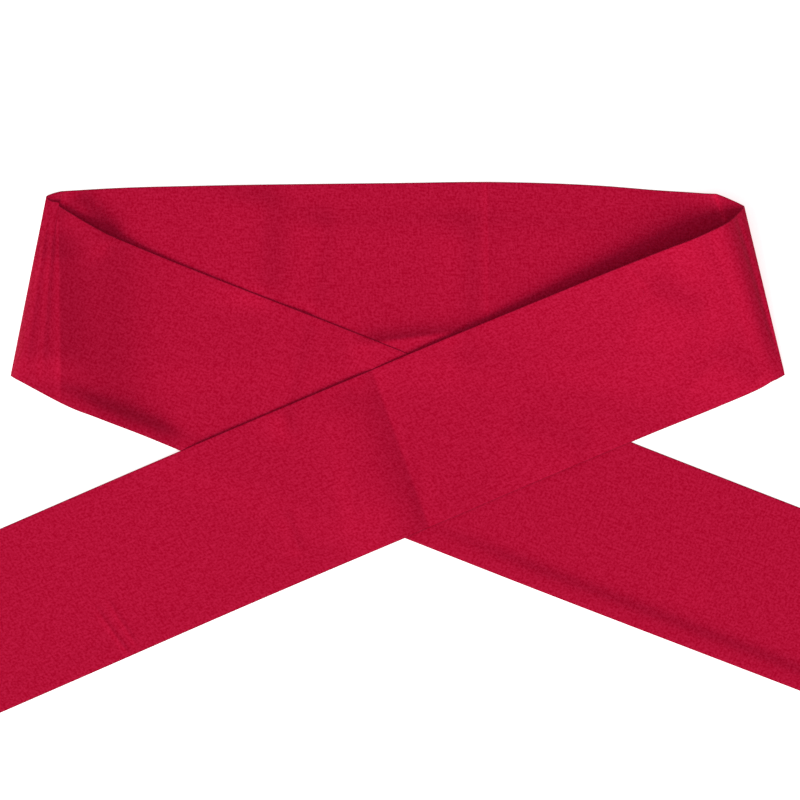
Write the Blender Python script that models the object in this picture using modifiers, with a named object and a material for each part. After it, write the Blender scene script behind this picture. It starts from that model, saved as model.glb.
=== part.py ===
"""Skinny silk scarf, laid flat with its tails crossed in front of the neck stretch.

The real scarf is one strip of silk, folded lengthwise and seamed into a flat tube of two plies. Lying down it
makes three stretches: the neck stretch at the back, the tail that turns down at the left and crosses under, and
the tail that turns down at the right and crosses over. The left turn is a soft fold. The right one is a roll that
is open at its upper end, so the tail comes off it well above the neck stretch and sinks on its way to the crossing.

Metres, +Z up. Seen from above, +X is to the right and +Y is towards the neck stretch. The origin is on the
surface that the scarf lies on, under the middle of its outline.
"""

import math
from collections import namedtuple

import bmesh
import bpy
import numpy as np

MM = 0.001

# Driving sizes, in metres
TAIL_LENGTH = 0.684  # from the outermost line of a turn to the tip; with the neck stretch, 1.8 m of scarf
WALL = 0.0012  # the two plies of the tube with the air between them
GAP = 0.0007  # between stretches that touch
STEP_REACH = 0.024  # how far past an edge that it covers a stretch is back on what lies beneath
STEP_MARGIN = 0.0015  # how far past that edge it still has its full height
EDGE_ROUND = 0.0004  # the rounding of the wall's edges
ROUND_FACES = 2  # faces that each rounding is made of
ROUND_OVER = 60  # degrees: sharper edges than this are rounded
STATION = 0.008  # from one cross line of the mesh to the next
TURN_STEP = 15  # degrees round a turn from one cross line to the next
FACES_ACROSS = 12

CRIMSON = (0.445, 0.006, 0.036, 1.0)

# A cross line runs straight over the flat tube, from its upper edge to the seam at its lower edge.
# x, y: its middle. width: its length. lean: degrees that its upper end leans to the right of +Y.
# upper, lower: how far its two ends stand off what lies beneath. Millimetres, from a zero in the crossing.
Cross = namedtuple("Cross", "x y width lean upper lower")

# A turn starts at its foot, where the neck stretch leaves the surface, and ends at its crown, above that.
# In between it is half an ellipse through its outermost line. pinch: how far the ellipse's two sides are straight
# at the upper and at the lower end, as in a fold that is creased there, from 0 to 1.
Turn = namedtuple("Turn", "foot outermost crown pinch")

LEFT_TURN = Turn(
    foot=Cross(-211.5, 68.6, 110.9, 14.7, 0.0, 0.0),
    outermost=Cross(-216.6, 66.7, 107.3, 11.2, 0.5, 2.6),
    crown=Cross(-213.2, 64.0, 106.6, 11.4, 1.0, 5.2),
    pinch=(0.5, 0.8),
)
RIGHT_TURN = Turn(
    foot=Cross(203.3, 68.3, 110.9, -19.5, 6.0, 0.1),
    outermost=Cross(212.8, 64.0, 101.6, -13.7, 9.8, 0.5),
    crown=Cross(205.3, 57.6, 96.3, -17.0, 14.3, 1.0),
    pinch=(0.85, 0.75),
)
NECK_LINES = (
    LEFT_TURN.foot,
    Cross(-171.9, 72.8, 103.5, 9.0, 0.0, 0.0),
    Cross(-120.5, 74.8, 101.0, 4.0, 0.0, 0.0),
    Cross(0.0, 76.8, 100.0, 0.0, 0.0, 0.0),
    Cross(52.0, 77.2, 100.4, -1.5, 0.0, 0.0),
    Cross(121.4, 75.4, 100.0, -5.0, 0.0, 0.0),
    Cross(160.9, 72.7, 101.0, -10.0, 0.0, 0.0),
    Cross(183.4, 70.5, 105.4, -15.0, 1.2, 0.0),
    Cross(195.3, 69.1, 108.7, -17.8, 3.6, 0.0),
    RIGHT_TURN.foot,
)
UNDER_LINES = (
    Cross(-200.4, 56.8, 115.1, 0.0, 1.0, 6.5),
    Cross(-175.0, 43.9, 109.2, 1.5, 3.2, 5.4),
    Cross(-153.3, 35.0, 108.4, 1.0, 1.0, 1.8),
    Cross(-108.5, 16.9, 103.0, 12.0, 0.1, 0.0),
    Cross(-73.3, 3.4, 101.5, 21.2, 0.0, 0.0),
    Cross(99.9, -64.9, 100.2, 21.1, 0.0, 0.0),
    Cross(251.3, -123.4, 99.4, 21.1, 0.0, 0.0),
)
OVER_LINES = (
    Cross(195.2, 52.3, 96.0, -20.3, 14.1, 0.8),
    Cross(169.7, 41.7, 97.0, -21.2, 10.8, 0.6),
    Cross(131.7, 26.5, 97.2, -21.8, 7.2, 0.5),
    Cross(88.7, 8.7, 97.6, -22.3, 3.8, 0.3),
    Cross(47.6, -8.4, 98.0, -22.6, 1.6, 0.1),
    Cross(18.6, -20.7, 98.3, -23.0, 0.4, 0.0),
    Cross(-109.2, -75.0, 98.2, -23.4, 0.0, 0.0),
    Cross(-214.4, -120.7, 98.6, -23.4, 0.0, 0.0),
)

# A crease is a soft ridge along a straight line. x1, y1 and x2, y2: its two ends. height: above the cloth beside
# it. left, right: how wide its slopes are, looking from the first end to the second. Millimetres. A valley is the
# dip between two ridges, because nothing can sink into the surface.
Crease = namedtuple("Crease", "x1 y1 x2 y2 height left right")

CREASE_FADE = 0.2  # the share of a crease's length that it runs out in, past each end

NECK_CREASES = (
    Crease(51.5, 64.0, 50.9, 127.0, 0.8, 8.0, 10.0),  # where the folded scarf was kept on a shelf
    Crease(-7.0, 37.0, 25.0, 38.0, 0.9, 9.0, 10.0),  # pushed up by the tails at their crossing
)
UNDER_CREASES = (Crease(-200.5, 92.0, -199.0, 8.0, 2.4, 12.0, 36.0),)  # the cloth stands up beside the fold
OVER_CREASES = (
    Crease(1.3, -77.6, -33.2, 9.0, 2.4, 20.0, 13.0),  # the bank on the left of the tail's sharp valley
    Crease(27.8, -67.0, -6.7, 19.6, 1.2, 6.0, 20.0),  # the bank on its right
)

# A stretch's cross lines as rows, which row_of describes, and the creases in it.
Stretch = namedtuple("Stretch", "name rows creases")
LIFTS = (2, 5)  # the columns of a row that hold a height


def clear_scene():
    for obj in list(bpy.data.objects):
        bpy.data.objects.remove(obj, do_unlink=True)


def row_of(cross, share):
    """A cross line in metres: the x, y and lift of its upper end, the same of its lower end, and the share of the
    height beneath that it stands on, from 0 at a turn's foot to 1 at its crown and beyond."""
    lean = math.radians(cross.lean)
    over = 0.5 * cross.width * math.sin(lean)
    up = 0.5 * cross.width * math.cos(lean)
    upper = (cross.x + over, cross.y + up, cross.upper)
    lower = (cross.x - over, cross.y - up, cross.lower)
    return np.array([*(MM * value for value in upper + lower), share])


def turn_rows(turn):
    """The cross lines round a turn, from its foot to its crown."""
    foot, outermost, crown = (row_of(cross, share) for cross, share in zip(turn[:3], (0.0, 0.5, 1.0)))
    middle = 0.5 * (foot + crown)
    power = np.array([1.0 + turn.pinch[0]] * 3 + [1.0 + turn.pinch[1]] * 3 + [1.0])
    rows = []
    for angle in np.radians(np.arange(-90, 91, TURN_STEP)):
        outwards = abs(math.cos(angle)) ** power
        upwards = math.copysign(1.0, angle) * abs(math.sin(angle)) ** power
        rows.append(middle + outwards * (outermost - middle) + upwards * (crown - middle))
    return rows


def tip_row(turn, lines):
    """The cross line at a tail's tip: straight on from its last one, until the tail has its full length."""
    last = lines[-1]
    middles = [(line.x, line.y) for line in (turn.outermost, *lines)]
    left = TAIL_LENGTH / MM - sum(math.dist(a, b) for a, b in zip(middles, middles[1:]))
    lean = math.radians(abs(last.lean))
    x = last.x + math.copysign(left * math.cos(lean), last.x)
    y = last.y - left * math.sin(lean)
    return row_of(last._replace(x=x, y=y), 1.0)


def distances(rows):
    """How far along the stretch each row is, by the middle of its cross line."""
    middles = 0.5 * (rows[:, 0:3] + rows[:, 3:6])
    return np.concatenate([[0.0], np.cumsum(np.linalg.norm(np.diff(middles, axis=0), axis=1))])


def smooth(knots, rows, at):
    """Rows in between, on curves that have no corner where they pass a given row."""
    steps = np.diff(knots)[:, None]
    rates = np.diff(rows, axis=0) / steps
    inner = (rates[:-1] * steps[1:] + rates[1:] * steps[:-1]) / (steps[:-1] + steps[1:])
    slopes = np.concatenate([rates[:1], inner, rates[-1:]])
    i = np.clip(np.searchsorted(knots, at, side="right") - 1, 0, len(steps) - 1)
    step = steps[i]
    t = (at - knots[i])[:, None] / step
    start = rows[i] * (1 + 2 * t) + slopes[i] * step * t
    end = rows[i + 1] * (3 - 2 * t) - slopes[i + 1] * step * (1 - t)
    between = start * (1 - t) ** 2 + end * t**2
    between[:, LIFTS] = np.maximum(between[:, LIFTS], 0.0)
    return between


def evenly(first, last):
    return np.linspace(first, last, round((last - first) / STATION) + 1)


def neck_stretch():
    """From foot to foot, less the gap to the tail at each end."""
    rows = np.array([row_of(line, 1.0) for line in NECK_LINES])
    knots = distances(rows)
    return Stretch("neck_stretch", smooth(knots, rows, evenly(GAP, knots[-1] - GAP)), NECK_CREASES)


def tail(name, turn, lines, creases):
    """Round its turn from the foot, and on to its tip."""
    round_turn = turn_rows(turn)
    run = [row_of(line, 1.0) for line in lines]
    rows = np.array([*round_turn, *run, tip_row(turn, lines)])
    knots = distances(rows)
    crown = len(round_turn) - 1
    at = np.concatenate([knots[:crown], evenly(knots[crown], knots[-1])])
    return Stretch(name, smooth(knots, rows, at), creases)


def past_outline(points, rows):
    """How far each point lies outside the outline of a stretch, and 0 inside it."""
    outline = np.concatenate([rows[:, 0:2], rows[::-1, 3:5]])
    far = np.full(len(points), np.inf)
    within = np.zeros(len(points), bool)
    for start, end in zip(outline, np.roll(outline, -1, axis=0)):
        side, offset = end - start, points - start
        along = np.clip(offset @ side / (side @ side), 0.0, 1.0)
        far = np.minimum(far, np.linalg.norm(offset - along[:, None] * side, axis=1))
        level = (start[1] > points[:, 1]) != (end[1] > points[:, 1])
        to_right = offset[:, 0] * side[1] < offset[:, 1] * side[0]
        within ^= level & (to_right if side[1] > 0 else ~to_right)
    return np.where(within, 0.0, far)


def step_height(points, rows):
    """What a stretch gains in height where it lies on another, whose rows are given."""
    past = (past_outline(points, rows) - STEP_MARGIN) / (STEP_REACH - STEP_MARGIN)
    share = 1.0 - np.clip(past, 0.0, 1.0)
    return (WALL + GAP) * share**2 * (3 - 2 * share)


def relief(points, creases):
    """What the creases add to the height."""
    height = np.zeros(len(points))
    for crease in creases:
        start = MM * np.array([crease.x1, crease.y1])
        side = MM * np.array([crease.x2, crease.y2]) - start
        length = np.linalg.norm(side)
        along = (points - start) @ side / length**2
        across = (points - start) @ np.array([-side[1], side[0]]) / length
        slope = MM * np.where(across > 0, crease.left, crease.right)
        fade = np.clip(1.0 - np.maximum(-along, along - 1.0) / CREASE_FADE, 0.0, 1.0)
        height += MM * crease.height * np.exp(-((across / slope) ** 2)) * fade**2 * (3 - 2 * fade)
    return height


def cloth(stretch, below, material, collection):
    """A flat grid moved onto the stretch's cross lines, over the stretches below, and given its wall."""
    last = len(stretch.rows) - 1
    bm = bmesh.new()
    bmesh.ops.create_grid(bm, x_segments=last, y_segments=FACES_ACROSS, size=0.5)
    corners = np.array([vert.co for vert in bm.verts])
    line = stretch.rows[np.round((corners[:, 0] + 0.5) * last).astype(int)]
    down = (0.5 - corners[:, 1])[:, None]
    points = line[:, 0:3] * (1 - down) + line[:, 3:6] * down
    flat = points[:, 0:2]
    beneath = relief(flat, stretch.creases)
    for other in below:
        beneath += step_height(flat, other.rows) + relief(flat, other.creases)
    points[:, 2] += 0.5 * WALL + line[:, 6] * beneath
    for vert, point in zip(bm.verts, points):
        vert.co = point
    mesh = bpy.data.meshes.new(stretch.name)
    bm.to_mesh(mesh)
    bm.free()
    mesh.shade_smooth()
    mesh.materials.append(material)
    obj = bpy.data.objects.new(stretch.name, mesh)
    collection.objects.link(obj)
    wall = obj.modifiers.new("Wall", "SOLIDIFY")
    wall.thickness = WALL
    wall.offset = 0.0
    rounding = obj.modifiers.new("Round edges", "BEVEL")
    rounding.width = EDGE_ROUND
    rounding.segments = ROUND_FACES
    rounding.limit_method = "ANGLE"
    rounding.angle_limit = math.radians(ROUND_OVER)
    return obj


def silk():
    material = bpy.data.materials.new("crimson silk")
    material.use_nodes = True
    shader = material.node_tree.nodes["Principled BSDF"]
    shader.inputs["Base Color"].default_value = CRIMSON
    shader.inputs["Roughness"].default_value = 0.5
    shader.inputs["Metallic"].default_value = 0.0
    return material


def centre_on_origin(objects):
    """Moves the scarf level, until the middle of its outline is over the origin."""
    bpy.context.view_layer.update()
    graph = bpy.context.evaluated_depsgraph_get()
    corners = np.array([corner for obj in objects for corner in obj.evaluated_get(graph).bound_box])
    middle = 0.5 * (corners.min(axis=0) + corners.max(axis=0))
    for obj in objects:
        for vert in obj.data.vertices:
            vert.co.x -= middle[0]
            vert.co.y -= middle[1]


def main():
    clear_scene()
    collection = bpy.data.collections.new("Skinny silk scarf")
    bpy.context.scene.collection.children.link(collection)
    material = silk()
    neck = neck_stretch()
    under = tail("under_tail", LEFT_TURN, UNDER_LINES, UNDER_CREASES)
    over = tail("over_tail", RIGHT_TURN, OVER_LINES, OVER_CREASES)
    turn_ends = [row_of(turn.outermost, 1.0) for turn in (LEFT_TURN, RIGHT_TURN)]
    to_the_turns = neck._replace(rows=np.array([turn_ends[0], *neck.rows, turn_ends[1]]))
    objects = [
        cloth(neck, (), material, collection),
        cloth(under, (to_the_turns,), material, collection),
        cloth(over, (to_the_turns, under), material, collection),
    ]
    centre_on_origin(objects)


main()
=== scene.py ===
"""Skinny silk scarf, laid flat with its tails crossed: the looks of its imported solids, in metres."""

import math
from collections import namedtuple

import bmesh
import bpy
import numpy as np
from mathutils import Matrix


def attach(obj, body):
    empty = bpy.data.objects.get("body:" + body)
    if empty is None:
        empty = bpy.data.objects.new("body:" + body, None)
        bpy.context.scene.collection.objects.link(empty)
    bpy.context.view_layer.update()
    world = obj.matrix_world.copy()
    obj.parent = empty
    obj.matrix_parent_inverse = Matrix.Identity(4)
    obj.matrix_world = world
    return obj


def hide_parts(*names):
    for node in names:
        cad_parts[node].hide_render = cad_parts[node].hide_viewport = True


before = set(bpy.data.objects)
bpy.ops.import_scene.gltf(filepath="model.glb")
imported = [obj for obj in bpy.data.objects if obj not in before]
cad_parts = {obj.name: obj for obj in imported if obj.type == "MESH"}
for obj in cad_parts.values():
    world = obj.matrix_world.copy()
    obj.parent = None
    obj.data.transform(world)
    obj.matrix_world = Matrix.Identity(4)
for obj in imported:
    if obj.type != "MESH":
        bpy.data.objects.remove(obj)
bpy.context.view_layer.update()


# Neck stretch
# The middle of the scarf, which goes round the neck: a flat tube of plain-woven crimson silk, cut as one
# panel, folded lengthwise and seamed along what is here its lower edge. It lies on the surface, under both
# tails.

MM = 0.001
TUBE = 0.00032  # the two plies of the tube with the air between them
CLEAR = 0.00008  # between stretches that lie on each other
PLY = 0.00012  # one ply of the silk
SPLIT = 0.00002  # from the neck stretch to each tail, which are one cloth in the real scarf
STEP_REACH = 0.024  # how far past an edge that it covers a stretch is back on what lies beneath
STEP_MARGIN = 0.0015  # how far past that edge it still has its full height
OUTLINE_STEP = 0.008  # between the points of an outline that other stretches lie on
FOLD = 0.0005  # how far in from its folded edge the tube has its full thickness
SEAM = 0.00015  # the same at its seamed edge
EDGE_TURNS = np.radians([22.5, 45.0, 67.5])  # where the rounding of an edge has its points
NECK_STATION = 0.0009  # from one cross line of the mesh to the next
END_CELL = 0.00005  # of the first and the last, so that the shading runs on over the split
TURN_STEP = 4  # degrees
FABRIC_WIDTH = 0.1
PLAIN_CELL = 0.028  # of the mesh across the tube, as a share of its width
ALLOWANCE_CELL = 0.01  # the same where the cloth steps down beside the seam allowance
ALLOWANCE_CELLS = (0.79, 0.96)  # from where to where those are
SEAM_CELL = 0.013  # the same from there to the seamed edge
HIDDEN_LINES = 4  # the tube's hidden side has one line of the mesh to this many on the side that shows
MERGE = 1e-6
SEAM_SOFTNESS = 0.002  # how softly the cloth steps down beside the seam allowance
CROSSING = (-0.00079, 0.0626)  # of the zero that the tables below measure from, in the frame

# A cross line runs straight over the flat tube, from its upper edge to the seam at its lower edge.
# x, y: its middle. width: its length. lean: degrees that its upper end leans to the right of +Y.
# upper, lower: how far its two ends stand off what lies beneath. Millimetres, from the crossing.
Cross = namedtuple("Cross", "x y width lean upper lower")

# A turn starts at its foot, where the neck stretch leaves the surface, and ends at its crown, above that.
# In between it is half an ellipse through its outermost line. pinch: how far the ellipse's two sides are
# straight at the upper and at the lower end, from 0 to 1.
Turn = namedtuple("Turn", "foot outermost crown pinch")

LEFT_TURN = Turn(
    foot=Cross(-211.5, 68.6, 110.9, 14.7, 0.0, 0.0),
    outermost=Cross(-217.2, 66.7, 107.3, 11.2, 0.3, 2.6),
    crown=Cross(-213.2, 64.0, 106.6, 11.4, 0.5, 5.2),
    pinch=(0.5, 0.8),
)
RIGHT_TURN = Turn(
    foot=Cross(203.3, 68.3, 110.9, -19.5, 6.0, 0.1),
    outermost=Cross(213.0, 64.0, 101.6, -13.7, 9.8, 0.5),
    crown=Cross(205.3, 57.6, 96.3, -17.0, 14.3, 1.0),
    pinch=(0.85, 0.75),
)
NECK_LINES = (
    LEFT_TURN.foot,
    Cross(-171.9, 72.8, 103.9, 9.0, 0.0, 0.0),
    Cross(-120.5, 74.8, 101.4, 4.0, 0.0, 0.0),
    Cross(0.0, 76.8, 100.4, 0.0, 0.0, 0.0),
    Cross(52.0, 77.2, 100.8, -1.5, 0.0, 0.0),
    Cross(121.4, 75.4, 100.4, -5.0, 0.0, 0.0),
    Cross(160.9, 72.7, 101.4, -10.0, 0.0, 0.0),
    Cross(183.4, 70.5, 105.6, -15.0, 1.2, 0.0),
    Cross(195.3, 69.1, 108.7, -17.8, 3.6, 0.0),
    RIGHT_TURN.foot,
)

# A crease is a ridge along a straight line, or a trough where its height is negative. x1, y1 and x2, y2: its
# two ends. left, right: how wide its slopes are, looking from the first end to the second. crisp: 0 where it
# is rounded, 1 where it is a sharp fold. Millimetres, from the crossing.
Crease = namedtuple("Crease", "x1 y1 x2 y2 height left right crisp")

NECK_CREASES = (
    Crease(51.5, 62.0, 50.9, 127.0, 0.6, 2.0, 12.0, 1),  # where the folded scarf was kept on a shelf
    Crease(34.0, 46.0, 35.0, 92.0, 0.7, 12.0, 12.0, 0),
    Crease(-16.0, 33.8, 28.0, 39.5, 1.4, 6.0, 18.0, 1),  # pushed up by the tails at their crossing
    Crease(-83.0, 68.0, -81.0, 112.0, 1.3, 24.0, 10.0, 0),
    Crease(-51.0, 58.0, -47.0, 100.0, 0.8, 16.0, 7.0, 0),
    Crease(-40.0, 101.0, 36.0, 103.0, 0.25, 6.0, 18.0, 0),
    Crease(36.0, 103.0, 120.0, 97.0, 0.2, 6.0, 16.0, 0),
    Crease(-187.0, 111.6, -172.0, 94.8, 1.6, 7.5, 14.0, 0),  # pushed up beside the left turn
)
CREASE_FADE = 0.4  # the share of a crease's length that it runs out in, past each end

# Painted shade, where the cloth is drawn darker, in the same columns. height: the share of its colour that it
# loses, and a painted highlight where it is negative.
NECK_PAINTED_SHADE = (
    Crease(-12.0, 34.3, 26.0, 39.2, 0.2, 6.5, 0.8, 0),  # painted shade where the cloth above the crossing folds under
    Crease(-183.5, 117.5, -167.5, 98.5, 0.15, 5.0, 7.0, 0),
    Crease(184.8, 119.0, 189.6, 106.8, -0.35, 1.5, 1.5, 0),  # painted highlight along the bend beside the roll
    Crease(-70.0, 68.0, -68.0, 110.0, 0.05, 12.0, 9.0, 0),
    Crease(42.0, 58.0, 42.0, 94.0, 0.05, 5.0, 7.0, 0),
)

# The seam allowance inside the tube, at points along a stretch. at: how far along. height: how much it lifts
# the cloth. allowance: how far in from the lower edge it reaches. Millimetres.
Seam = namedtuple("Seam", "at height allowance")
NECK_SEAM = (Seam(0, 0.0, 12), Seam(60, 0.15, 12), Seam(200, 0.2, 12), Seam(420, 0.1, 12))

# A stretch's rows, which row_of describes, where each is along the stretch, its creases and its painted shade
Stretch = namedtuple("Stretch", "name rows at creases dull")
LIFTS = (2, 5)  # the columns of a row that hold a height


def row_of(cross, share):
    """A cross line in metres: the x, y and lift of its upper end, the same of its lower end, and the share of
    the height beneath that it stands on, from 0 at a turn's foot to 1 at its crown and beyond."""
    lean = math.radians(cross.lean)
    aside = 0.5 * cross.width * math.sin(lean)
    ahead = 0.5 * cross.width * math.cos(lean)
    upper = (cross.x + aside, cross.y + ahead, cross.upper)
    lower = (cross.x - aside, cross.y - ahead, cross.lower)
    return np.array([*(MM * value for value in upper + lower), share])


def distances(rows):
    """How far along the stretch each row is, by the middle of its cross line."""
    middles = 0.5 * (rows[:, 0:3] + rows[:, 3:6])
    return np.concatenate([[0.0], np.cumsum(np.linalg.norm(np.diff(middles, axis=0), axis=1))])


def smooth(knots, rows, at):
    """Rows in between, on curves that have no corner where they pass a given row."""
    steps = np.diff(knots)[:, None]
    rates = np.diff(rows, axis=0) / steps
    inner = (rates[:-1] * steps[1:] + rates[1:] * steps[:-1]) / (steps[:-1] + steps[1:])
    slopes = np.concatenate([rates[:1], inner, rates[-1:]])
    i = np.clip(np.searchsorted(knots, at, side="right") - 1, 0, len(steps) - 1)
    step = steps[i]
    t = (at - knots[i])[:, None] / step
    start = rows[i] * (1 + 2 * t) + slopes[i] * step * t
    end = rows[i + 1] * (3 - 2 * t) - slopes[i + 1] * step * (1 - t)
    between = start * (1 - t) ** 2 + end * t**2
    between[:, LIFTS] = np.maximum(between[:, LIFTS], 0.0)
    return between


def evenly(first, last, step):
    return np.linspace(first, last, round((last - first) / step) + 1)


def past_outline(points, outline):
    """How far each point lies outside an outline, and 0 inside it."""
    far = np.full(len(points), np.inf)
    within = np.zeros(len(points), bool)
    for start, end in zip(outline, np.roll(outline, -1, axis=0)):
        side, offset = end - start, points - start
        along = np.clip(offset @ side / (side @ side), 0.0, 1.0)
        far = np.minimum(far, np.linalg.norm(offset - along[:, None] * side, axis=1))
        level = (start[1] > points[:, 1]) != (end[1] > points[:, 1])
        to_right = offset[:, 0] * side[1] < offset[:, 1] * side[0]
        within ^= level & (to_right if side[1] > 0 else ~to_right)
    return np.where(within, 0.0, far)


def outline_of(rows):
    return np.concatenate([rows[:, 0:2], rows[::-1, 3:5]])


def step_height(points, outline):
    """What a stretch gains in height where it lies on another, whose outline is given."""
    past = (past_outline(points, outline) - STEP_MARGIN) / (STEP_REACH - STEP_MARGIN)
    share = 1.0 - np.clip(past, 0.0, 1.0)
    return (TUBE + CLEAR) * share**2 * (3 - 2 * share)


def relief(points, creases):
    """What the creases add to the height."""
    height = np.zeros(len(points))
    for crease in creases:
        start = MM * np.array([crease.x1, crease.y1])
        side = MM * np.array([crease.x2, crease.y2]) - start
        length = np.linalg.norm(side)
        along = (points - start) @ side / length**2
        across = (points - start) @ np.array([-side[1], side[0]]) / length
        off = np.abs(across) / (MM * np.where(across > 0, crease.left, crease.right))
        profile = np.exp(-off) if crease.crisp else np.exp(-(off**2))
        fade = np.clip(1.0 - np.maximum(-along, along - 1.0) / CREASE_FADE, 0.0, 1.0)
        height += MM * crease.height * profile * fade**2 * (3 - 2 * fade)
    return height


def cross_section(across):
    """The closed loop round the tube, from its upper edge over the side that shows and back under the other.
    Each point is the share of the width, and how far from the tube's middle it lies, in half thicknesses."""
    rounding = [(1 - math.cos(a), math.sin(a)) for a in EDGE_TURNS]
    fold = [(FOLD * back / FABRIC_WIDTH, out) for back, out in rounding]
    seamed = [(1 - SEAM * back / FABRIC_WIDTH, out) for back, out in reversed(rounding)]
    shown = [*fold, *((v, 1.0) for v in across), *seamed]
    hidden = [*seamed[::-1], *((v, 1.0) for v in across[::-HIDDEN_LINES]), *fold[::-1]]
    return np.array([(0.0, 0.0), *shown, (1.0, 0.0), *((v, -out) for v, out in hidden)])


def fabric_lengths(rows):
    """Where the upper and lower end of each row are along the straight grain of the cloth."""
    ends = np.stack([rows[:, 0:3], rows[:, 3:6]], axis=1)
    steps = np.linalg.norm(np.diff(ends, axis=0), axis=2)
    travel = (ends[1] - ends[0]).sum(axis=0)
    travel /= np.linalg.norm(travel)
    start = np.array([(ends[0, 0] - ends[0, 1]) @ travel, 0.0])
    return start + np.concatenate([[[0.0, 0.0]], np.cumsum(steps, axis=0)])


def tube(stretch, below, seam, tip):
    """A flat grid wrapped round the stretch's cross lines, over the stretches below."""
    count = len(stretch.rows)
    first, last = ALLOWANCE_CELLS
    across = np.concatenate([
        evenly(FOLD / FABRIC_WIDTH, first - ALLOWANCE_CELL, PLAIN_CELL),
        evenly(first, last, ALLOWANCE_CELL),
        evenly(last + ALLOWANCE_CELL, 1 - SEAM / FABRIC_WIDTH, SEAM_CELL),
    ])
    section = cross_section(across)
    widths = np.unique(np.round(section[:, 0], 9))
    upper, lower = stretch.rows[:, None, 0:3], stretch.rows[:, None, 3:6]
    middle = upper * (1 - widths[None, :, None]) + lower * widths[None, :, None]
    plan = middle[:, :, 0:2].reshape(-1, 2)
    beneath = relief(plan, stretch.creases)
    for other in below:
        beneath += step_height(plan, outline_of(other.rows)) + relief(plan, other.creases)
    at, height, allowance = MM * np.array(seam).T
    past_allowance = FABRIC_WIDTH * (1 - widths) - np.interp(stretch.at, at, allowance)[:, None]
    step = np.interp(stretch.at, at, height)[:, None] / (1 + np.exp(past_allowance / SEAM_SOFTNESS))
    # painted shade, and painted highlight where it is negative, as the share of the colour lost
    dull = relief(plan, stretch.dull).reshape(count, -1) / MM
    middle[:, :, 2] += 0.5 * TUBE + stretch.rows[:, 6:7] * beneath.reshape(count, -1) + step
    normals = np.cross(np.gradient(middle, axis=0), np.gradient(middle, axis=1))
    normals /= np.linalg.norm(normals, axis=2, keepdims=True)
    if normals[-1, 0, 2] < 0:  # they point out of the side that shows
        normals = -normals
    column = np.searchsorted(widths, np.round(section[:, 0], 9))
    out = 0.5 * TUBE * np.ones(count)
    if tip:
        left = stretch.at[-1] - stretch.at
        out = 0.5 * TUBE * np.sqrt(np.clip(1 - (1 - np.minimum(left / FOLD, 1)) ** 2, 0, 1))
    lift = out[:, None] * section[:, 1]
    points = middle[:, column] + lift[:, :, None] * normals[:, column]
    points[:, :, 0:2] += CROSSING

    lengths = fabric_lengths(stretch.rows)
    bm = bmesh.new()
    bmesh.ops.create_grid(bm, x_segments=count - 1, y_segments=len(section), size=0.5)
    grain = bm.loops.layers.uv.new("grain")
    painted_shading = bm.verts.layers.float.new("painted_shading")
    girth = np.concatenate([[0.0], np.cumsum(np.abs(np.diff(section[:, 0])))]) * FABRIC_WIDTH
    girth = np.append(girth, 2 * FABRIC_WIDTH)
    along = lengths[:, 0:1] * (1 - section[:, 0]) + lengths[:, 1:2] * section[:, 0]
    along = np.concatenate([along, along[:, 0:1]], axis=1)
    points = np.concatenate([points, points[:, 0:1]], axis=1)
    bm.verts.index_update()
    for vert in bm.verts:
        j, i = divmod(vert.index, count)
        vert.co = points[i, j]
        vert[painted_shading] = dull[i, column[j % len(column)]]
        for loop in vert.link_loops:
            loop[grain].uv = (along[i, j], girth[j])
    bmesh.ops.remove_doubles(bm, verts=bm.verts[:], dist=MERGE)
    bmesh.ops.recalc_face_normals(bm, faces=bm.faces[:])
    if bm.calc_volume(signed=True) < 0:  # inside out, as the tube is open where the cloth runs on
        bmesh.ops.reverse_faces(bm, faces=bm.faces[:])
    mesh = bpy.data.meshes.new(stretch.name)
    bm.to_mesh(mesh)
    bm.free()
    mesh.shade_smooth()
    obj = bpy.data.objects.new(stretch.name, mesh)
    bpy.context.scene.collection.objects.link(obj)
    ply = obj.modifiers.new("Ply", "SOLIDIFY")
    ply.thickness = PLY
    ply.offset = -1.0
    return obj


def add_node(tree, kind, **inputs):
    """A node with its inputs set or linked, each by its name or as i0, i1 and so on by its place."""
    node = tree.nodes.new(kind)
    for name, value in inputs.items():
        socket = node.inputs[int(name[1:])] if name[0] == "i" and name[1:].isdigit() else node.inputs[name]
        if hasattr(value, "is_output"):
            tree.links.new(value, socket)
        else:
            socket.default_value = value
    return node


SLUB_ALONG = 160.0  # how often a thread's thickness changes along it, to the metre
SLUB_ACROSS = 900.0  # the same from thread to thread
GRAIN = 750.0  # of the fine grain that both sets of threads make
MOTTLE = 330.0  # of the wider unevenness of the dye
SLUB_SHARE = 0.2
GRAIN_SHARE = 0.6


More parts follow.
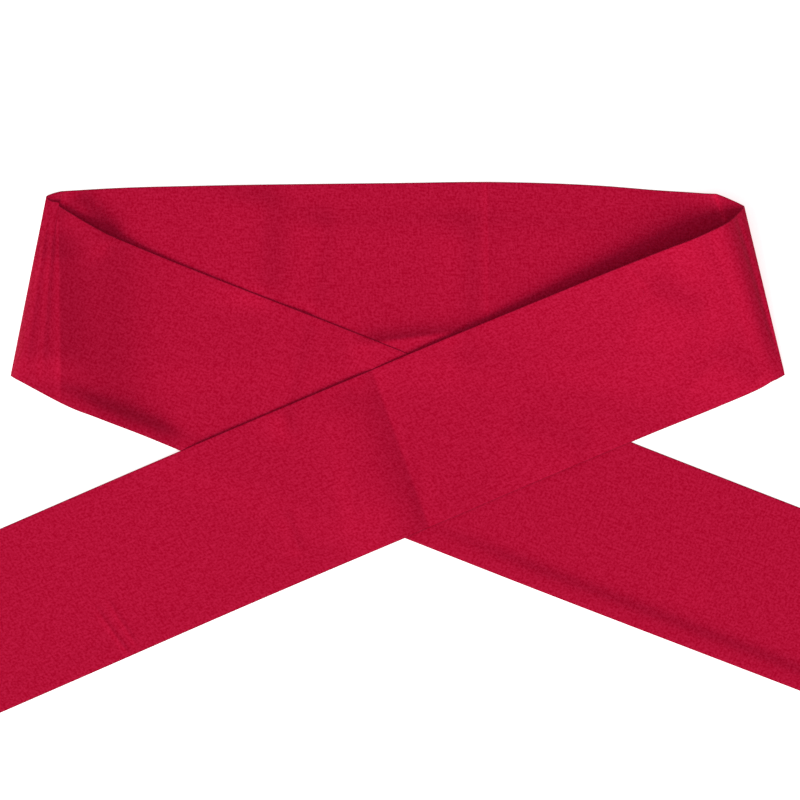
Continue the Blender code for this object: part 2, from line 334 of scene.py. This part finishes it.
def weave():
    """A node group that turns the cloth's grain coordinates into masks of its slubby threads and mottle."""
    group = bpy.data.node_groups.new("Plain weave", "ShaderNodeTree")
    group.interface.new_socket("Grain", in_out="INPUT", socket_type="NodeSocketVector")
    group.interface.new_socket("Threads", in_out="OUTPUT", socket_type="NodeSocketFloat")
    group.interface.new_socket("Mottle", in_out="OUTPUT", socket_type="NodeSocketFloat")
    start = group.nodes.new("NodeGroupInput")
    end = group.nodes.new("NodeGroupOutput")

    def noise(stretch, detail):
        scaled = add_node(group, "ShaderNodeVectorMath", i0=start.outputs["Grain"], i1=stretch)
        scaled.operation = "MULTIPLY"
        made = add_node(group, "ShaderNodeTexNoise", Vector=scaled.outputs[0], Scale=1.0, Detail=detail)
        return made.outputs[0]

    def blend(kind, first, second):
        made = add_node(group, "ShaderNodeMath", i0=first, i1=second)
        made.operation = kind
        return made.outputs[0]

    warp = noise((SLUB_ALONG, SLUB_ACROSS, 1.0), 2.0)
    weft = noise((SLUB_ACROSS, SLUB_ALONG, 1.0), 2.0)
    grain = noise((GRAIN, GRAIN, 1.0), 3.0)
    slubs = blend("MULTIPLY", blend("ADD", warp, weft), SLUB_SHARE)
    threads = blend("ADD", slubs, blend("MULTIPLY", grain, GRAIN_SHARE))
    mottle = noise((MOTTLE, MOTTLE, 1.0), 2.0)
    group.links.new(threads, end.inputs["Threads"])
    group.links.new(mottle, end.inputs["Mottle"])
    return group


SILK_DARK = (0.33, 0.0, 0.0135, 1.0)
SILK_LIGHT = (0.45, 0.0085, 0.0415, 1.0)
SILK_SHINE = (1.0, 0.01, 0.11, 1.0)
MOTTLE_SHARE = 0.1
WEAVE_SPREAD = (0.46, 0.64)  # the weave's values at which the silk is wholly dark and wholly light
EDGE_LINE = 0.0007  # how far from the fold and from the seam the cloth has a painted shade line
EDGE_CORE = 0.4  # the share of that in which it is darkest
EDGE_SHADE = 0.58  # what is left of its colour there
THREAD_HEIGHT = 0.0002


def make_silk():
    """Crimson silk, mottled and slubby, with painted shade along its edges, and painted shade and highlight
    where its stretch's table gives them.
    """
    material = bpy.data.materials.new("crimson silk")
    material.use_nodes = True
    tree = material.node_tree
    shader = tree.nodes["Principled BSDF"]
    coordinates = add_node(tree, "ShaderNodeUVMap")
    coordinates.uv_map = "grain"
    threads = tree.nodes.new("ShaderNodeGroup")
    threads.node_tree = weave()
    tree.links.new(coordinates.outputs["UV"], threads.inputs["Grain"])
    mottled = add_node(tree, "ShaderNodeMath", i0=threads.outputs["Mottle"], i1=MOTTLE_SHARE)
    mottled.operation = "MULTIPLY_ADD"
    tree.links.new(threads.outputs["Threads"], mottled.inputs[2])
    spread = add_node(tree, "ShaderNodeMapRange", Value=mottled.outputs[0])
    spread.inputs["From Min"].default_value = WEAVE_SPREAD[0]
    spread.inputs["From Max"].default_value = WEAVE_SPREAD[1]
    colour = add_node(tree, "ShaderNodeMix")
    colour.data_type = "RGBA"
    tree.links.new(spread.outputs[0], colour.inputs["Factor"])
    colour.inputs[6].default_value = SILK_DARK
    colour.inputs[7].default_value = SILK_LIGHT
    # painted shade along the folded and the seamed edge
    girth = add_node(tree, "ShaderNodeSeparateXYZ", Vector=coordinates.outputs["UV"])
    from_fold = add_node(tree, "ShaderNodeMath", i0=girth.outputs["Y"], i1=FABRIC_WIDTH)
    from_fold.operation = "PINGPONG"
    from_seam = add_node(tree, "ShaderNodeMath", i0=FABRIC_WIDTH, i1=from_fold.outputs[0])
    from_seam.operation = "SUBTRACT"
    from_edge = add_node(tree, "ShaderNodeMath", i0=from_fold.outputs[0], i1=from_seam.outputs[0])
    from_edge.operation = "MINIMUM"
    shade = add_node(tree, "ShaderNodeMapRange", Value=from_edge.outputs[0])
    shade.inputs["From Min"].default_value = EDGE_CORE * EDGE_LINE
    shade.inputs["From Max"].default_value = EDGE_LINE
    shade.inputs["To Min"].default_value = EDGE_SHADE
    # painted shade and painted highlight from the stretch's table
    painted_shading = add_node(tree, "ShaderNodeAttribute")
    painted_shading.attribute_name = "painted_shading"
    kept = add_node(tree, "ShaderNodeMath", i0=1.0, i1=painted_shading.outputs["Fac"])
    kept.operation = "SUBTRACT"
    strength = add_node(tree, "ShaderNodeMath", i0=shade.outputs[0], i1=kept.outputs[0])
    strength.operation = "MULTIPLY"
    shaded = add_node(tree, "ShaderNodeVectorMath", i0=colour.outputs[2])
    shaded.operation = "SCALE"
    tree.links.new(strength.outputs[0], shaded.inputs["Scale"])
    tree.links.new(shaded.outputs[0], shader.inputs["Base Color"])
    bump = add_node(tree, "ShaderNodeBump", Height=threads.outputs["Threads"], Strength=0.25)
    bump.inputs["Distance"].default_value = THREAD_HEIGHT
    tree.links.new(bump.outputs["Normal"], shader.inputs["Normal"])
    shader.inputs["Roughness"].default_value = 0.6
    shader.inputs["IOR"].default_value = 1.6
    shader.inputs["Specular IOR Level"].default_value = 1.0
    shader.inputs["Specular Tint"].default_value = SILK_SHINE
    shader.inputs["Sheen Weight"].default_value = 0.12
    shader.inputs["Sheen Roughness"].default_value = 0.4
    shader.inputs["Sheen Tint"].default_value = SILK_SHINE
    return material


def declare(piece, node):
    """Gives the piece its silk, puts it under the root body and hides the imported solid that it shows."""
    piece.data.materials.append(silk)
    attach(piece, "root")
    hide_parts(node)


silk = make_silk()
neck_knots = np.array([row_of(line, 1.0) for line in NECK_LINES])
neck_at = distances(neck_knots)
neck_length = neck_at[-1]
neck_stations = evenly(SPLIT + END_CELL, neck_length - SPLIT - END_CELL, NECK_STATION)
neck_stations = np.concatenate([[SPLIT], neck_stations, [neck_length - SPLIT]])
neck_rows = smooth(neck_at, neck_knots, neck_stations)
neck = Stretch("scarf_neck", neck_rows, neck_stations, NECK_CREASES, NECK_PAINTED_SHADE)
neck_piece = tube(neck, (), NECK_SEAM, False)
declare(neck_piece, "neck_stretch")


# Under tail
# The turn at the left, a soft fold, and the tail that runs from it to the lower right, with a plain square
# tip. It is the same silk tube, lies on the neck stretch and then on the surface, and shows its seam allowance
# pressed through along the lower edge.

TAIL_LENGTH = 0.684  # from the outermost line of a turn to the tip
IN_VIEW = 0.49  # how much of a tail the photo shows
UNDER_LINES = (
    Cross(-200.4, 56.8, 115.1, 0.0, 0.5, 6.2),
    Cross(-175.0, 43.9, 109.2, 1.5, 2.4, 5.4),
    Cross(-153.3, 35.0, 108.4, 1.0, 0.9, 1.6),
    Cross(-108.5, 16.9, 103.0, 12.0, 0.1, 0.0),
    Cross(-73.3, 3.4, 101.5, 21.2, 0.0, 0.0),
    Cross(99.9, -64.8, 100.7, 21.1, 0.0, 0.0),
    Cross(251.3, -123.3, 99.9, 21.1, 0.0, 0.0),
)
UNDER_CREASES = (
    Crease(-200.3, 80.0, -199.3, 28.0, 1.8, 14.0, 36.0, 0),  # the cloth stands up where the fold's strip ends
    Crease(-199.6, 92.0, -198.6, 20.0, 0.4, 4.0, 1.5, 1),
    Crease(-208.0, 92.0, -216.5, 34.0, 0.45, 1.2, 1.2, 0),
    Crease(-203.6, 92.0, -208.5, 30.0, 0.55, 1.8, 1.4, 0),
    Crease(-57.3, 40.4, -68.0, -8.0, 0.8, 5.0, 12.0, 0),
    Crease(196.0, -55.0, 180.0, -105.0, 0.4, 6.0, 20.0, 0),
    Crease(285.0, -92.0, 262.0, -170.0, 0.5, 9.0, 16.0, 0),
    Crease(370.0, -125.0, 352.0, -190.0, 0.4, 14.0, 8.0, 0),
)
# Painted shade on the under tail
UNDER_PAINTED_SHADE = (
    Crease(-198.3, 95.0, -197.5, 12.0, 0.15, 38.0, 1.0, 0),  # painted shade between the fold's strip and a straight line
    Crease(-210.5, 108.0, -227.0, 22.0, 0.2, 2.5, 20.0, 0),
    Crease(-214.0, 56.0, -213.0, 4.0, 0.07, 12.0, 14.0, 0),
)
UNDER_SEAM = (
    Seam(0, 0.0, 9),
    Seam(20, 0.0, 9),
    Seam(32, 0.8, 9),  # from here it stands up as the tail comes off its turn
    Seam(50, 2.4, 9),
    Seam(70, 3.6, 9),
    Seam(92, 3.4, 9),
    Seam(112, 0.9, 9),
    Seam(130, 0.1, 9),
    Seam(250, 0.2, 12),
    Seam(290, 0.5, 12),
    Seam(340, 1.3, 12),  # from here it shows through past the crossing
    Seam(490, 1.4, 12),
    Seam(700, 0.5, 12),
)
SHOWN_STATION = 0.001  # from one cross line of the mesh to the next, as far as the photo shows the tail
HIDDEN_STATION = 0.0025  # and from there to its tip


def turn_rows(turn):
    """The cross lines round a turn, from its foot to its crown."""
    foot, outermost, crown = (row_of(cross, share) for cross, share in zip(turn[:3], (0.0, 0.5, 1.0)))
    middle = 0.5 * (foot + crown)
    power = np.array([1.0 + turn.pinch[0]] * 3 + [1.0 + turn.pinch[1]] * 3 + [1.0])
    rows = []
    for angle in np.radians(evenly(-90, 90, TURN_STEP)):
        outwards = abs(math.cos(angle)) ** power
        upwards = math.copysign(1.0, angle) * abs(math.sin(angle)) ** power
        rows.append(middle + outwards * (outermost - middle) + upwards * (crown - middle))
    return rows


def tail(name, turn, lines, creases, dull):
    """Round its turn from the foot, and on to its tip."""
    round_turn = turn_rows(turn)
    last = lines[-1]
    middles = [(line.x, line.y) for line in (turn.outermost, *lines)]
    left = TAIL_LENGTH / MM - sum(math.dist(a, b) for a, b in zip(middles, middles[1:]))
    lean = math.radians(abs(last.lean))
    x = last.x + math.copysign(left * math.cos(lean), last.x)
    tip = last._replace(x=x, y=last.y - left * math.sin(lean))
    knots = np.array([*round_turn, *(row_of(line, 1.0) for line in (*lines, tip))])
    at = distances(knots)
    crown = len(round_turn) - 1
    shown = at[crown] + IN_VIEW
    end = at[-1]
    rounding = end - FOLD * (1 - np.cos(EDGE_TURNS))
    stations = np.concatenate([
        at[:crown],
        evenly(at[crown], shown, SHOWN_STATION),
        evenly(shown, end - FOLD, HIDDEN_STATION)[1:],
        rounding[::-1],
        [end],
    ])
    return Stretch(name, smooth(at, knots, stations), stations, creases, dull)


def with_turns(stretch):
    """The neck stretch as far as the outermost lines of both turns, in few rows."""
    few = stretch.rows[:: round(OUTLINE_STEP / NECK_STATION)]
    ends = [row_of(turn.outermost, 1.0) for turn in (LEFT_TURN, RIGHT_TURN)]
    return stretch._replace(rows=np.array([ends[0], *few, stretch.rows[-1], ends[1]]))


neck_outline = with_turns(neck)
under = tail("scarf_under_tail", LEFT_TURN, UNDER_LINES, UNDER_CREASES, UNDER_PAINTED_SHADE)
under_piece = tube(under, (neck_outline,), UNDER_SEAM, True)
declare(under_piece, "under_tail")


# Over tail
# The turn at the right, a roll that is open at its upper end, and the tail that runs from it to the lower
# left, on top at the crossing. It is the same silk tube, with a plain square tip.

OVER_LINES = (
    Cross(195.2, 52.3, 96.0, -20.3, 14.1, 0.8),
    Cross(169.7, 41.7, 97.0, -21.2, 10.8, 0.6),
    Cross(131.7, 26.5, 97.2, -21.8, 7.2, 0.5),
    Cross(88.7, 8.7, 97.6, -22.3, 3.6, 0.3),
    Cross(47.6, -8.4, 98.0, -22.6, 1.3, 0.1),
    Cross(22.0, -19.3, 98.3, -23.0, 0.1, 0.0),
    Cross(5.0, -26.5, 98.3, -23.2, 0.0, 0.0),
    Cross(-109.2, -75.0, 98.4, -23.4, 0.6, 0.0),
    Cross(-214.4, -120.7, 98.8, -23.4, 0.0, 0.0),
)
OVER_CREASES = (
    Crease(16.8, -74.0, -17.6, 20.0, 0.8, 45.0, 45.0, 0),  # the banks of the tail's sharp valley
    Crease(-0.1, -80.2, -34.5, 13.8, 1.0, 22.0, 16.0, 0),
    Crease(16.8, -74.0, -17.6, 20.0, -1.1, 12.0, 12.0, 1),  # the valley itself
    Crease(-32.0, 9.8, -49.0, 56.0, -0.8, 22.0, 9.0, 0),  # where a bank runs down to the tail's edge
    Crease(200.5, 95.0, 216.5, 41.5, -0.8, 1.6, 1.6, 0),  # the streak along the roll
    Crease(148.0, 58.8, 170.0, 48.6, 1.2, 12.0, 25.0, 0),
    Crease(186.0, 22.0, 203.0, 8.0, 1.0, 14.0, 25.0, 0),
    Crease(70.0, -22.0, 100.0, -30.0, 0.7, 14.0, 22.0, 0),
    Crease(-66.0, -70.0, -60.0, -86.0, 0.25, 3.0, 6.0, 0),
    Crease(-68.0, -8.0, -64.0, -20.0, 0.2, 4.0, 6.0, 0),
    Crease(-26.0, -61.0, 4.0, -58.0, 0.6, 30.0, 14.0, 0),
    Crease(136.0, 75.0, 145.0, 67.0, 0.15, 1.2, 1.5, 1),
    Crease(-174.0, -127.0, -161.0, -145.0, 0.25, 1.0, 1.6, 0),
    Crease(-168.0, -122.0, -157.0, -139.0, 0.2, 1.2, 1.2, 0),
    Crease(22.0, -21.5, 26.0, -20.5, 0.12, 1.0, 1.2, 0),
    Crease(-285.0, -108.0, -262.0, -190.0, 0.45, 16.0, 9.0, 0),
    Crease(-352.0, -135.0, -338.0, -215.0, 0.4, 9.0, 15.0, 0),
)
# Painted shade on the over tail, and a painted highlight where the height is negative
OVER_PAINTED_SHADE = (
    Crease(16.8, -74.0, -17.6, 20.0, 0.04, 16.0, 0.8, 0),  # painted shade beside the sharp valley
    # painted highlight along the bend beside the roll
    Crease(184.8, 119.0, 189.6, 106.8, -0.35, 1.5, 1.5, 0),
    Crease(203.0, 92.0, 213.0, 41.0, 0.09, 3.0, 5.0, 0),
)
OVER_SEAM = (Seam(0, 0.0, 12), Seam(60, 0.05, 12), Seam(300, 0.12, 12), Seam(700, 0.15, 12))

over = tail("scarf_over_tail", RIGHT_TURN, OVER_LINES, OVER_CREASES, OVER_PAINTED_SHADE)
few_rows = under.rows[:: round(OUTLINE_STEP / SHOWN_STATION)]
under_outline = under._replace(rows=np.concatenate([few_rows, under.rows[-1:]]))
over_piece = tube(over, (neck_outline, under_outline), OVER_SEAM, True)
declare(over_piece, "over_tail")


# The surface, the light and the camera
# A plain white table under soft light from the lower left, seen from straight above. The frame is as wide as
# in the photo, so it crops both tails.

FRAME_WIDTH = 0.468
CAMERA_HEIGHT = 6.0
CAMERA_SENSOR = 36.0
TABLE_HALF = 4.0
TABLE_TOP = -0.0001  # just under the silk

bm = bmesh.new()
bmesh.ops.create_grid(bm, x_segments=1, y_segments=1, size=TABLE_HALF)
mesh = bpy.data.meshes.new("ground")
bm.to_mesh(mesh)
bm.free()
ground = bpy.data.objects.new("ground", mesh)
ground.location.z = TABLE_TOP
bpy.context.scene.collection.objects.link(ground)
white = bpy.data.materials.new("white table")
white.use_nodes = True
white_shader = white.node_tree.nodes["Principled BSDF"]
white_shader.inputs["Base Color"].default_value = (0.93, 0.93, 0.93, 1.0)
white_shader.inputs["Roughness"].default_value = 0.9
white_shader.inputs["Specular IOR Level"].default_value = 0.0
white_shader.inputs["Emission Color"].default_value = (1.0, 1.0, 1.0, 1.0)
white_shader.inputs["Emission Strength"].default_value = 0.6
ground.data.materials.append(white)

world = bpy.data.worlds.new("studio")
bpy.context.scene.world = world
world.use_nodes = True
background = world.node_tree.nodes["Background"]
background.inputs["Color"].default_value = (1.0, 1.0, 1.0, 1.0)
background.inputs["Strength"].default_value = 0.53


def soft_light(name, azimuth, elevation, softness, power):
    """A far, wide light. Azimuth 0 is from -Y, and 90 from -X. softness: degrees that it spreads over."""
    data = bpy.data.lights.new(name, "SUN")
    data.angle = math.radians(softness)
    data.energy = power
    light = bpy.data.objects.new(name, data)
    light.rotation_euler = (math.radians(90 - elevation), 0.0, -math.radians(azimuth))
    bpy.context.scene.collection.objects.link(light)


soft_light("key", azimuth=25.0, elevation=21.0, softness=32.0, power=4.6)

camera_data = bpy.data.cameras.new("camera")
camera_data.sensor_width = CAMERA_SENSOR
camera_data.lens = CAMERA_SENSOR * CAMERA_HEIGHT / FRAME_WIDTH
camera_data.clip_end = 2 * CAMERA_HEIGHT
camera = bpy.data.objects.new("camera", camera_data)
camera.location = (CROSSING[0], CROSSING[1], CAMERA_HEIGHT)
bpy.context.scene.collection.objects.link(camera)
bpy.context.scene.camera = camera
bpy.context.scene.view_settings.view_transform = "Standard"
